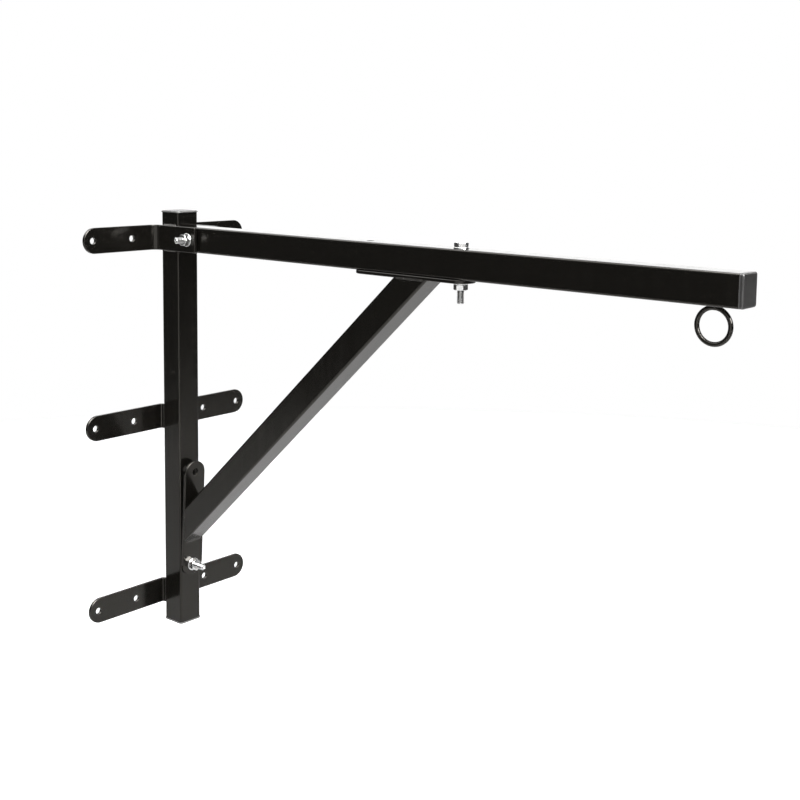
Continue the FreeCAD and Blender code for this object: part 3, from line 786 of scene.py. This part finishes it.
def zinc_plate():
    """Bright zinc on steel: bluish and yellowish patches, scratches, painted shade in its hollows, and worn
    grey edges.
    """
    finish = Finish("zinc_plate")
    patches = finish.noise(180.0, detail=3.0, roughness=0.6)
    colour = finish.blend(patches, ZINC_BLUISH, ZINC_YELLOWISH)
    # Painted shade: the zinc is darker where ambient occlusion finds hollows, such as the roots of threads.
    open_share = finish.add("AmbientOcclusion", {"Distance": 1.6 * MM}, "AO", samples=OCCLUSION_SAMPLES)
    colour = finish.blend(finish.span(open_share, 0.2, 0.8, 0.5, 0.0), colour, ZINC_PAINTED_SHADE)
    worn = finish.calculate("MULTIPLY", finish.edges(0.9 * MM), 0.65)
    colour = finish.blend(worn, colour, ZINC_WORN)
    scratches = finish.noise(900.0, detail=5.0, roughness=0.75, stretch=(1.0, 0.35, 0.6))
    roughness = finish.span(scratches, 0.3, 0.7, 0.16, 0.30)
    pits = finish.bump(finish.noise(700.0), 0.006 * MM)
    marks = finish.bump(scratches, 0.003 * MM, pits)
    return finish.surface(Base_Color=colour, Metallic=1.0, Roughness=roughness, Normal=marks)


def black_plastic():
    """Moulded polyethylene: a fine grain, faint flow marks, and greyer edges that are partly scuffed and
    partly a painted highlight.
    """
    finish = Finish("black_plastic")
    flow = finish.noise(45.0, detail=3.0, roughness=0.6, stretch=(1.0, 0.4, 1.0))
    colour = finish.blend(flow, PLASTIC_DARK, PLASTIC_PALE)
    edge = finish.edges(2.2 * MM)
    # Every edge of a cap is made paler: partly scuffing, partly a painted highlight along the edges.
    scuff_and_highlight_share = finish.span(finish.noise(420.0, detail=4.0, roughness=0.7), 0.4, 0.65, 0.45, 1.0)
    colour = finish.blend(finish.calculate("MULTIPLY", edge, scuff_and_highlight_share), colour, PLASTIC_SCUFF_AND_HIGHLIGHT)
    roughness = finish.span(flow, 0.3, 0.7, 0.34, 0.46)
    swirl = finish.bump(flow, 0.05 * MM)
    grain = finish.bump(finish.noise(1500.0, detail=3.0, roughness=0.6), 0.035 * MM, swirl)
    return finish.surface(Base_Color=colour, Roughness=roughness, Normal=grain, Specular_IOR_Level=0.55)


def pale_floor():
    """A white floor that glows more strongly where the camera sees it than in mirrors or as a light."""
    finish = Finish("pale_floor")
    cloud = finish.noise(1.5, detail=3.0)
    colour = finish.blend(cloud, FLOOR_DARK, FLOOR_PALE)
    fine = finish.bump(finish.noise(60.0, detail=3.0), 0.2 * MM)
    seen = finish.add("LightPath", output="Is Camera Ray")
    glow = finish.span(seen, 0.0, 1.0, FLOOR_GLOW, FLOOR_GLOW_SEEN)
    return finish.surface(
        Base_Color=colour, Roughness=0.7, Normal=fine,
        Emission_Color=WHITE, Emission_Strength=glow,
    )


# ---- stage ----

def make_floor():
    """A round floor that stays out of the part's own pieces."""
    bm = bmesh.new()
    rim = circle(FLOOR_R, 0, even_angles(FLOOR_SEGMENTS))
    add_rings(bm, [[Vector((0, 0, 0))], rim])
    mesh = bpy.data.meshes.new("floor")
    bm.to_mesh(mesh)
    bm.free()
    mesh.materials.append(pale_floor())
    floor = bpy.data.objects.new("floor", mesh)
    floor.location = (STAGE_X, 0, FLOOR_Z)
    bpy.context.scene.collection.objects.link(floor)


def make_light(name, position, aim, size, power):
    """A soft rectangular light, unseen by the camera."""
    data = bpy.data.lights.new(name, "AREA")
    data.shape = "RECTANGLE"
    data.size, data.size_y = size
    data.energy = power
    light = bpy.data.objects.new(name, data)
    light.location = position
    light.rotation_mode = "QUATERNION"
    light.rotation_quaternion = (Vector(aim) - Vector(position)).to_track_quat("-Z", "Y")
    light.visible_camera = False
    bpy.context.scene.collection.objects.link(light)


def panel(name, azimuth, distance, height, size, radiance):
    """An upright soft panel that faces the bracket, with the brightness of its face given.

    azimuth is in degrees from +X towards +Y, round the middle of the bracket.
    """
    angle = math.radians(azimuth)
    position = Vector((STAGE_X + distance * math.cos(angle), distance * math.sin(angle), height))
    power = radiance * math.pi * size[0] * size[1]
    make_light(name, position, Vector((STAGE_X, 0, height)), size, power)


def make_lights():
    make_light("overhead", position=(1.2, 0.2, 3.4), aim=(1.2, 0.2, 0), size=(3.8, 3.8), power=260)
    panel("behind", azimuth=126, distance=4.5, height=1.50, size=(10.5, 2.6), radiance=1.7)
    panel("front", azimuth=-60, distance=3.4, height=0.15, size=(4.1, 2.6), radiance=1.2)


class Surroundings(Nodes):
    """The node tree of a new world."""

    def __init__(self, name):
        self.world = bpy.data.worlds.new(name)
        super().__init__(self.world)
        self.way = self.add("TexCoord", output="Generated")

    def background(self, strength):
        return self.add("Background", {"Color": WHITE, "Strength": strength})

    def along(self, direction):
        """The cosine of the angle between the ray and a direction."""
        return self.add("VectorMath", {0: self.way, 1: direction}, "Value", operation="DOT_PRODUCT")

    def fade(self, value, low, high, to_low, to_high):
        """A value brought from one range to another with soft ends."""
        inputs = {"Value": value, "From Min": low, "From Max": high, "To Min": to_low, "To Max": to_high}
        return self.add("MapRange", inputs, interpolation_type="SMOOTHSTEP")

    def choose(self, ray, otherwise, chosen):
        """One background for one kind of ray, and another for all the rest."""
        return self.add("MixShader", {0: self.add("LightPath", output=ray), 1: otherwise, 2: chosen})


def dome_glow(surroundings):
    """The brightness that reflections see: a dome over a dark horizon, with a few bright spots."""
    rising = surroundings.along(Z_AXIS)
    glow = surroundings.fade(rising, DOME_FOOT, DOME_FULL, HORIZON_GLOW, DOME_GLOW)
    start = math.cos(math.radians(KEY_START))
    full = math.cos(math.radians(KEY_FULL))
    for azimuth, height, key_glow in KEYS:
        turn = math.radians(azimuth)
        rise = math.radians(height)
        key = Vector((math.cos(turn) * math.cos(rise), math.sin(turn) * math.cos(rise), math.sin(rise)))
        spot = surroundings.fade(surroundings.along(key), start, full, 0.0, key_glow)
        glow = surroundings.add("Math", {0: glow, 1: spot}, operation="ADD")
    return glow


def make_world():
    """White where the camera sees it, a glowing dome in reflections, and dim as a light."""
    surroundings = Surroundings("studio")
    dim = surroundings.background(HORIZON_GLOW)
    dome = surroundings.background(dome_glow(surroundings))
    mirrored = surroundings.choose("Is Glossy Ray", dim, dome)
    whole = surroundings.choose("Is Camera Ray", mirrored, surroundings.background(BACKDROP_GLOW))
    surroundings.close(whole, "World")
    bpy.context.scene.world = surroundings.world


def make_camera():
    """A camera with a shifted lens, so that the bracket is off the middle without turning the camera."""
    data = bpy.data.cameras.new("camera")
    data.sensor_width = CAMERA_SENSOR
    data.lens = CAMERA_LENS
    data.shift_x, data.shift_y = CAMERA_SHIFT
    camera = bpy.data.objects.new("camera", data)
    bpy.context.scene.collection.objects.link(camera)
    camera.location = CAMERA_AT
    camera.rotation_mode = "QUATERNION"
    look = (CAMERA_AIM - CAMERA_AT).to_track_quat("-Z", "Y")
    camera.rotation_quaternion = look @ Quaternion(Z_AXIS, CAMERA_ROLL)
    bpy.context.scene.camera = camera


# ---- the whole scene ----

def paint_cad_nodes(paint):
    """The tubes and flat bars keep their CAD shape and get the painted finish."""
    tubes = ("post", "arm", "brace_tube")
    bars = ("top_bracket_left", "top_bracket_right", "middle_strap", "bottom_strap")
    plates = ("brace_arm_plate", "brace_post_plate")
    for name in tubes + bars + plates:
        for material_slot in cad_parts[name].material_slots:
            material_slot.material = paint


def make_object():
    """Every visible piece of the bracket."""
    paint = painted_steel("black_paint", base_roughness=0.15, peel=0.012 * MM)
    paint_on_weld = painted_steel("black_paint_on_weld", base_roughness=0.24, peel=0.03 * MM)
    zinc = zinc_plate()
    paint_cad_nodes(paint)
    make_bolt_set("pivot", Y_AXIS, Y_AXIS * -1, zinc)
    make_bolt_set("arm_plate", Z_AXIS, Z_AXIS * -1, zinc, ARM_HEAD_TURN, ARM_NUT_TURN)
    make_bolt_set("post_plate", X_AXIS * -1, PLATE_NORMAL, zinc)
    make_bracket_welds(paint_on_weld)
    make_strap_welds(paint_on_weld)
    make_brace_welds(paint_on_weld)
    make_ring_weld(paint_on_weld)
    make_ring(paint)
    make_caps(black_plastic())


make_object()
make_floor()
make_lights()
make_world()
make_camera()
bpy.context.scene.view_settings.view_transform = "Standard"
